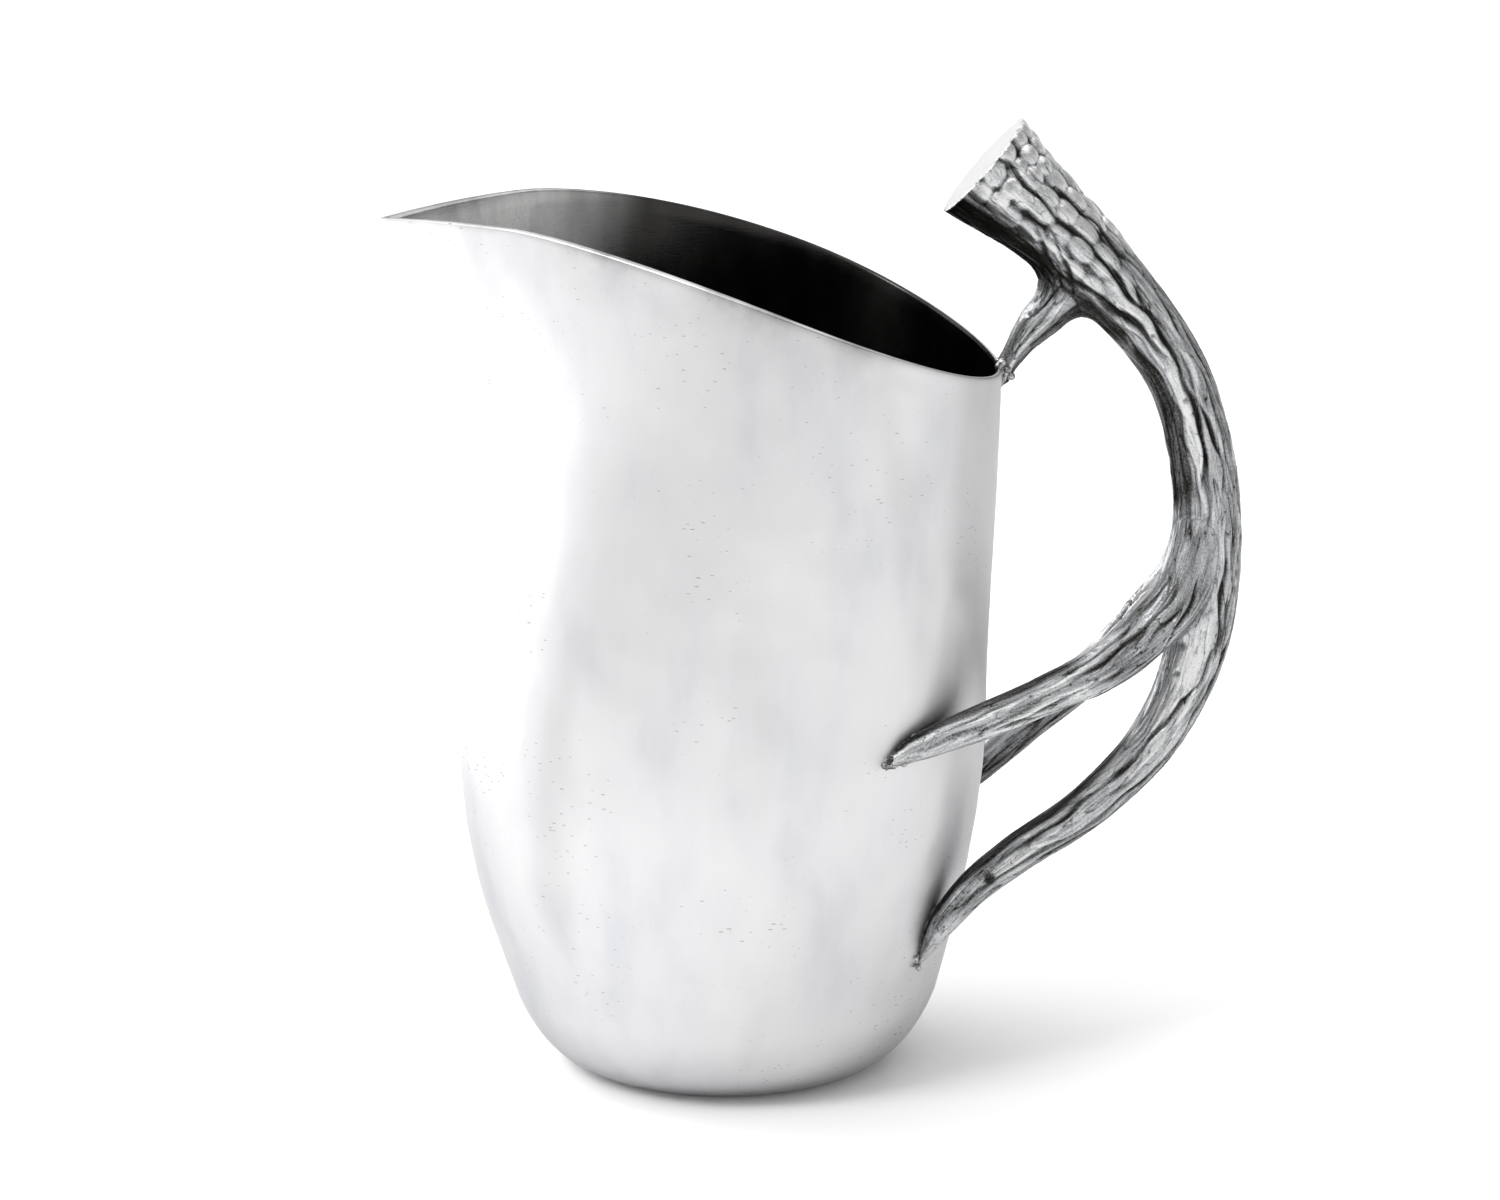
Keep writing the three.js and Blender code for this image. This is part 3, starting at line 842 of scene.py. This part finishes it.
def bright_face():
    """The sawn end, ground flat and polished, with fine parallel grinding lines."""
    metal = Metal("ground_end")
    haze = metal.noise(metal.place(), 140, 4)
    tone = metal.ramp(haze, (0.3, (0.74, 0.74, 0.735)), (0.7, (0.82, 0.82, 0.815)))
    rough = metal.ramp(haze, (0.3, 0.16), (0.7, 0.24))
    lines = metal.noise(metal.place((1, 12, 1)), 300, 3)
    return metal.finish(tone, rough, metal.bump(lines, 0.00006, 0.4))


def solder_metal():
    """Solder: softer, greyer and slightly lumpy."""
    metal = Metal("solder")
    lumps = metal.noise(metal.place(), 380, 4, 0.6)
    tone = metal.ramp(lumps, (0.35, (0.14, 0.14, 0.138)), (0.65, (0.56, 0.56, 0.555)))
    rough = metal.ramp(lumps, (0.3, 0.5), (0.7, 0.28))
    return metal.finish(tone, rough, metal.bump(lumps, 0.0003, 0.5))


BODY_METAL = polished_pewter()
INNER_METAL = inner_pewter()
ANTLER_METAL = darkened_pewter()
FACE_METAL = bright_face()
SOLDER_METAL = solder_metal()


# ---- pieces
def add_object(name, data):
    made = bpy.data.objects.new(name, data)
    scene.collection.objects.link(made)
    return made


def add_piece(name, verts, faces, materials, node, layers=None, material_index=None):
    """A smooth mesh that rides on the root body and stands for a CAD node."""
    mesh = bpy.data.meshes.new(name)
    mesh.from_pydata((np.asarray(verts) * MM).tolist(), [], [list(map(int, f)) for f in faces])
    mesh.polygons.foreach_set("use_smooth", np.ones(len(mesh.polygons), bool))
    for material in materials:
        mesh.materials.append(material)
    if material_index is not None:
        mesh.polygons.foreach_set("material_index", np.asarray(material_index, np.int32))
    for layer_name, values in (layers or {}).items():
        kind, field = ("FLOAT_VECTOR", "vector") if np.ndim(values) == 2 else ("FLOAT", "value")
        layer = mesh.attributes.new(layer_name, kind, "POINT")
        layer.data.foreach_set(field, np.asarray(values, np.float32).ravel())
    mesh.update()
    piece = add_object(name, mesh)
    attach(piece, "root")
    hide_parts(node)


def grid_faces(rows, count):
    """Quads round a closed loop of rows."""
    r, c = np.meshgrid(np.arange(rows), np.arange(count), indexing="ij")
    r2, c2 = (r + 1) % rows, (c + 1) % count
    return np.stack([r * count + c, r * count + c2, r2 * count + c2, r2 * count + c], -1).reshape(-1, 4)


def grid_normals(rows):
    round_step = np.roll(rows, -1, 1) - np.roll(rows, 1, 1)
    up_step = np.roll(rows, -1, 0) - np.roll(rows, 1, 0)
    normals = np.cross(round_step, up_step)
    return normals / np.maximum(np.linalg.norm(normals, axis=-1), 1e-9)[..., None]


def tarnish(points, below_rim):
    """Darkened metal: on the rim, in an uneven band under its middle, and faintly under the spout."""
    below = np.clip(below_rim, 0, None)
    uneven = noise(points * [0.045, 0.045, 0.0], 71)
    depth = 3.4 + 3 * uneven
    middle = smooth(-48, -26, points[:, 0]) * (1 - smooth(30, 50, points[:, 0]))
    close = (0.5 * smooth(-0.6, 0.4, uneven) + 0.15) * middle * np.exp(-below / np.maximum(depth, 1))
    wide = 0.16 * np.exp(-below / 18) * smooth(70, -40, points[:, 0])
    return np.clip(close + wide + 0.3 * np.exp(-below / 0.5), 0, 1)


def painted_contact_shadow(points):
    """Painted contact shadow on the wall along the upper side of the soldered limbs, darkest close to each
    limb.
    """
    painted_shadow = np.zeros(len(points))
    near = (points[:, 0] > 30) & (points[:, 2] < 125) & (points[:, 2] > 28)
    for name in ("near_tine", "far_tine", "antler_stem"):
        gap, _, turn = LIMBS[name].locate(points[near])
        amount = np.exp(-np.clip(gap, 0, None) / 1.7) * (0.5 - 0.5 * np.cos(turn)) * 0.85
        painted_shadow[near] = np.maximum(painted_shadow[near], amount)
    return painted_shadow


def painted_inner_light_share(points):
    """How bright the inside is painted: a painted reflection in the spout, painted shade further in."""
    uneven = noise(points * [0.02, 0.06, 0.03], 73)
    return 1 - smooth(-46, -20, points[:, 0] + 7 * uneven + 0.1 * (RIM_TOP - points[:, 2]))


def body_shell():
    """The raised shell: up the outside, over the rim, and down the inside to the hole for the disc."""
    turns = np.linspace(0, math.pi / 2, 4)
    eased = [(RIM_ROUND * (1 - math.sin(t)), RIM_ROUND * (1 - math.cos(t))) for t in turns]
    outer_edge = [rim_row(below, inward) for below, inward in eased]
    inner_edge = [rim_row(below, WALL - inward) for below, inward in eased[::-1]]
    hole = BASE_RADIUS + SEAM_GAP
    outside = corner_rows(0, 0, 14) + side_rows(0, RIM_ROUND, 146)
    inside = (corner_rows(WALL, WALL, 12) + side_rows(WALL, RIM_ROUND, 56))[::-1]
    edge = outer_edge + inner_edge
    rows = np.array([round_row(hole, 0)] + outside + edge + inside + [round_row(hole, WALL)])
    flat = rows.reshape(-1, 3)
    below_rim = np.tile(RIM_HEIGHTS, len(rows)) - flat[:, 2]
    fade = smooth(0.6, 5, below_rim) * smooth(1.5, 6, flat[:, 2])
    dent = (hammer_depth(flat) * fade).reshape(rows.shape[:2])
    outward = grid_normals(rows)
    first_inside = 1 + len(outside) + len(outer_edge)
    outward[first_inside:] *= -1
    verts = (rows - outward * dent[..., None]).reshape(-1, 3)
    inner = np.repeat(np.arange(len(rows)) >= first_inside, AROUND)
    # haze: tarnish under the rim, and painted contact shadow along the soldered limbs
    haze = np.maximum(tarnish(flat, below_rim), painted_contact_shadow(flat))
    add_piece(
        "shell", verts, grid_faces(len(rows), AROUND), [BODY_METAL, INNER_METAL],
        "body_shell", {"haze": haze, "painted_inner_light": painted_inner_light_share(flat)}, inner,
    )


def bottom_disc():
    """The flat bottom: a round plate with eased edges."""
    sides, ease = 128, 0.3
    turn = round_turns(sides)
    under = [(BASE_RADIUS * 0.33, 0.0), (BASE_RADIUS * 0.66, 0.0), (BASE_RADIUS - ease, 0.0)]
    under += [(BASE_RADIUS - ease * 0.3, ease * 0.3), (BASE_RADIUS, ease)]
    over = [(radius, WALL - height) for radius, height in under[::-1]]
    verts = [(r * c, r * s, z) for r, z in under + over for c, s in zip(np.cos(turn), np.sin(turn))]
    rows = len(under + over)
    faces = grid_faces(rows, sides)[:-sides].tolist()
    verts += [(0, 0, 0.0), (0, 0, WALL)]
    last, centre = (rows - 1) * sides, rows * sides
    faces += [((i + 1) % sides, i, centre) for i in range(sides)]
    faces += [(last + i, last + (i + 1) % sides, centre + 1) for i in range(sides)]
    add_piece("bottom_disc", verts, faces, [BODY_METAL], "base_disc")


def seam_bead():
    """The uneven bead of solder inside, over the joint of disc and shell."""
    sides, around = 14, 220
    turn, spin = round_turns(around), round_turns(sides)
    ring = np.column_stack([np.cos(turn), np.sin(turn), turn * 0]) * 2.5
    size = 1 + 0.22 * noise(ring * 2.2, 91)[:, None]
    radius = BASE_RADIUS + 1.1 + 2.0 * size * np.cos(spin)
    height = WALL + SEAM_GAP * 0.5 + np.maximum(0, 1.15 * size * np.sin(spin))
    verts = np.stack([radius * np.cos(turn)[:, None], radius * np.sin(turn)[:, None], height], -1)
    faces = grid_faces(around, sides)[:, [0, 3, 2, 1]]
    add_piece("seam_bead", verts.reshape(-1, 3), faces, [SOLDER_METAL], "base_solder_seam")


ANTLER_LOW = (42, -62, 29)
ANTLER_HIGH = (137, 53, 252)
ANTLER_STEP = 0.88
ROOT_CENTRES = {  # a point inside the stem under each tine's root
    "rim_tine": np.array([94, 0, 211]),
    "near_tine": np.array([123, -1, 133]),
    "far_tine": np.array([123, 1, 133]),
}
ROOT_REACH = 14.0  # an open edge nearer than this to a root's centre is closed towards it
ROOT_FADE = {"rim_tine": 8.0, "near_tine": 30.0, "far_tine": 30.0}  # where a tine's own relief is whole
MERGE = 1.3  # how softly one limb's relief gives way to the next
SEAM_WIDTH = 0.16
SEAM_DEPTH = 0.15


def smooth_antler():
    """The whole antler without its relief: points, quads and outward directions."""
    verts, quads = surface_nets(antler_gap, ANTLER_LOW, ANTLER_HIGH, ANTLER_STEP)
    verts, quads = subdivide(verts, quads)
    slope = field_slope(antler_gap, verts)
    steep = np.maximum(lengths(slope), 0.3)[:, None]
    normals = slope / steep
    return verts - normals * np.clip(antler_gap(verts)[:, None] / steep, -0.5, 0.5), quads, normals


def merged_relief(verts):
    """Relief height, shade, fibre coordinates and nearest limb of each point, merged where limbs meet."""
    gaps, shares, fibres = [], [], []
    height, shade = 0, 0
    for seed, (name, limb) in enumerate(LIMBS.items()):
        gap, run, turn = limb.locate(verts)
        radius = np.interp(run, limb.distance, limb.radius)
        lift, dark = relief(name, run, turn, radius, 20 * seed)
        share = np.exp(-np.clip(gap, -4, 12) / MERGE)
        if name in ROOT_FADE:
            share = share * smooth(2, ROOT_FADE[name], run)
        height, shade = height + lift * share, shade + dark * share
        gaps.append(gap)
        shares.append(share)
        fibres.append(np.column_stack([radius * np.cos(turn), radius * np.sin(turn), run + 300 * seed]))
    height, shade = height / sum(shares), shade / sum(shares)
    fibre = np.array(fibres)[np.argmax(shares, 0), np.arange(len(verts))]
    closest = np.sort(gaps, axis=0)
    seam = np.exp(-(((closest[1] - closest[0]) / 2 / SEAM_WIDTH) ** 2))
    return height - SEAM_DEPTH * seam, np.clip(shade + 0.15 * seam, 0, 1), fibre, np.argmin(gaps, 0)


def antler_surface():
    """The whole antler as one relief surface, with each quad's owner."""
    verts, quads, normals = smooth_antler()
    height, shade, fibre, owner = merged_relief(verts)
    sawn = (verts - END_POINT) @ END_NORMAL
    face = smooth(-0.5, -0.1, sawn)
    free = smooth(WALL_CLEARANCE + 0.1, 1.2, body_gap(verts))
    outward = verts - END_POINT - sawn[:, None] * END_NORMAL
    reach = lengths(outward)
    outward /= np.maximum(reach, 0.1)[:, None]
    level = smooth(-3, -0.6, sawn)[:, None]  # near the sawn end the relief stands straight out
    normals = normals * (1 - level) + outward * level
    normals /= lengths(normals)[:, None]
    at_edge = smooth(0.55, 0.95, reach / STEM[0, 3])
    verts = verts + normals * (height * (1 - face * (1 - at_edge)) * free)[:, None]
    owner = np.where(sawn > -PLATE, len(LIMBS), owner)
    quad_owner = np.sort(owner[quads], axis=1)[:, 1]
    flat = (face[quads] > 0.5).all(1)
    return verts, quads, quad_owner, flat, shade * (1 - face), fibre


def boundary_loops(faces):
    """The open edges of a quad mesh, as closed loops of vertex numbers."""
    edges = np.stack([faces, np.roll(faces, -1, 1)], -1).transpose(1, 0, 2).reshape(-1, 2)
    forward = {tuple(e) for e in edges.tolist()}
    after = {}
    for a, b in forward:
        if (b, a) not in forward:
            after.setdefault(b, []).append(a)
    loops = []
    while after:
        loop = [next(iter(after))]
        while loop[-1] in after:
            options = after[loop[-1]]
            following = options.pop()
            if not options:
                del after[loop[-1]]
            if following == loop[0]:
                break
            loop.append(following)
        loops.append(loop)
    return loops


def cap_apex(middle, name):
    """Where a cap's faces meet: inside the stem at a tine's root, at the loop's middle elsewhere."""
    nearest = min(ROOT_CENTRES.values(), key=lambda centre: np.linalg.norm(centre - middle))
    at_root = name != "sawn_end_plate" and np.linalg.norm(nearest - middle) < ROOT_REACH
    return nearest if at_root else middle


def antler_pieces():
    """The antler cut into its limbs and the sawn end, each closed where it was cut."""
    verts, quads, owner, flat, shade, fibre = antler_surface()
    for number, name in enumerate([*LIMBS, "sawn_end_plate"]):
        mine = owner == number
        used, local = np.unique(quads[mine], return_inverse=True)
        points, faces = verts[used], local.reshape(-1, 4)
        kinds, closed = flat[mine].astype(int).tolist(), faces.tolist()
        caps = np.empty((0, 3))  # caps have their own points, so that they don't bend the surface's shading
        for loop in boundary_loops(faces):
            first, count = len(points) + len(caps), len(loop)
            caps = np.vstack([caps, points[loop], cap_apex(points[loop].mean(0), name)])
            closed += [[first + i, first + (i + 1) % count, first + count] for i in range(count)]
            kinds += [0] * count
        layers = {
            "patina_and_painted_shade": np.concatenate([shade[used], np.full(len(caps), 0.5)]),
            "fibre": np.vstack([fibre[used], np.zeros((len(caps), 3))]),
        }
        add_piece(
            "look_" + name, np.vstack([points, caps]), closed, [ANTLER_METAL, FACE_METAL],
            name, layers, kinds,
        )


SOLDER_SIZE = 2.6  # of the fillet between limb and wall
SOLDER_STEP = 0.4
SOLDER_SUNK = 0.35  # how far it reaches into limb and wall
BEADS = {  # centre and radius of the beads that ran out of each joint
    "rim_solder": [
        (71.2, -3, 186.6, 1.2), (70.2, -3, 185.6, 1), (72.6, -2.7, 184.6, 1), (73.6, -1.2, 182.6, 1.1),
        (72.8, 1, 182, 1), (70.4, 2.6, 185.9, 1),
    ],
    "near_solder": [
        (40.4, -55.3, 94.2, 0.9), (42.6, -54.2, 93.7, 0.8), (45.2, -52.3, 93.8, 0.9), (50, -47.6, 94.6, 0.6),
    ],
    "far_solder": [(44.2, 46.2, 43, 0.9), (46.4, 44.6, 44, 0.8)],
    "lower_solder": [(50, -34.6, 34, 0.9), (49.2, -36, 37, 0.7)],
}


def solder_piece(limb_name, node, low, high):
    """The uneven fillet under the end of a limb and its beads, sunk a little into limb and wall."""
    limb = LIMBS[limb_name]

    def field(points):
        tine, _, turn = limb.locate(points)
        wall = body_gap(points)
        ragged = noise(points * 0.5, 61) + 0.6 * noise(points * 1.3, 62)
        under = 0.35 + 0.65 * (0.5 + 0.5 * np.cos(turn))
        size = SOLDER_SIZE * under * np.clip(1 + 0.6 * ragged, 0.3, 2)
        filled = soft_min(tine + 0.2, wall + 0.2, size) + 0.05
        for x, y, z, radius in BEADS[node]:
            filled = soft_min(filled, lengths(points - [x, y, z]) - radius, 0.5)
        return np.maximum(filled, np.maximum(-tine - SOLDER_SUNK, -wall - SOLDER_SUNK))

    verts, quads = surface_nets(field, low, high, SOLDER_STEP)
    add_piece("look_" + node, verts, quads, [SOLDER_METAL], node)


# ---- building
body_shell()
bottom_disc()
seam_bead()
antler_pieces()
solder_piece("rim_tine", "rim_solder", (66, -7, 178), (78, 7, 191))
solder_piece("near_tine", "near_solder", (34, -62, 86), (66, -32, 110))
solder_piece("far_tine", "far_solder", (38, 32, 36), (62, 54, 66))
solder_piece("antler_stem", "lower_solder", (44, -44, 28), (68, -22, 64))


# ---- stage
FLOOR_HALF = 6.0
FLOOR_DROP = 0.0002  # the floor lies this far under the foot


def add_floor():
    mesh = bpy.data.meshes.new("floor")
    corners = [(x * FLOOR_HALF, y * FLOOR_HALF, 0) for x, y in ((-1, -1), (1, -1), (1, 1), (-1, 1))]
    mesh.from_pydata(corners, [], [(0, 1, 2, 3)])
    material = bpy.data.materials.new("pale_floor")
    material.use_nodes = True
    inputs = material.node_tree.nodes["Principled BSDF"].inputs
    inputs["Base Color"].default_value = (0.9, 0.9, 0.9, 1)
    inputs["Roughness"].default_value = 0.7
    inputs["Specular IOR Level"].default_value = 0.1
    mesh.materials.append(material)
    floor = add_object("floor", mesh)
    floor.location.z = -FLOOR_DROP


def add_light(name, place_m, target_m, size, power, colour=(1, 1, 1)):
    """A soft rectangular lamp at a place, turned towards a target."""
    light = bpy.data.lights.new(name, "AREA")
    light.shape = "RECTANGLE"
    light.size, light.size_y = size
    light.energy, light.color = power, colour
    lamp = add_object(name, light)
    lamp.location = place_m
    lamp.rotation_euler = (Vector(target_m) - Vector(place_m)).to_track_quat("-Z", "Y").to_euler()


def add_world():
    """A pale room: bright near the horizon, darker overhead."""
    world = bpy.data.worlds.new("studio")
    scene.world = world
    room = Tree(world)
    direction = room.add("TexCoord").outputs["Generated"]
    height = room.add("SeparateXYZ", Vector=direction).outputs["Z"]
    tone = room.ramp(height, (0.0, 1.0), (0.2, 0.96), (0.45, 0.42), (0.8, 0.12))
    background = room.nodes["Background"]
    room.feed(background.inputs["Color"], tone)
    room.feed(background.inputs["Strength"], 1.1)


add_floor()
add_world()
add_light("overhead", (-0.4, 0.9, 2.6), (-0.4, 0.9, 0), (5.5, 5.5), 142)
add_light("key", (-3.0, -2.6, 4.0), (0, 0, 0.1), (2.0, 2.0), 134)
add_light("left_panel", (-0.4, 0.36, 0.24), (0.3, 0.36, 0.24), (0.66, 0.46), 2.3, (0.97, 0.985, 1.0))

# ---- camera
CAMERA_PITCH = math.radians(14.3)
CAMERA_DISTANCE = 1.3
AIM = Vector((0.0065, 0, 0.123))
lens = bpy.data.cameras.new("camera")
lens.lens, lens.sensor_width = 120, 36
camera = add_object("camera", lens)
camera.location = AIM + Vector((0, -math.cos(CAMERA_PITCH), math.sin(CAMERA_PITCH))) * CAMERA_DISTANCE
camera.rotation_euler = (math.pi / 2 - CAMERA_PITCH, 0, 0)
scene.camera = camera

scene.view_settings.view_transform = "Standard"
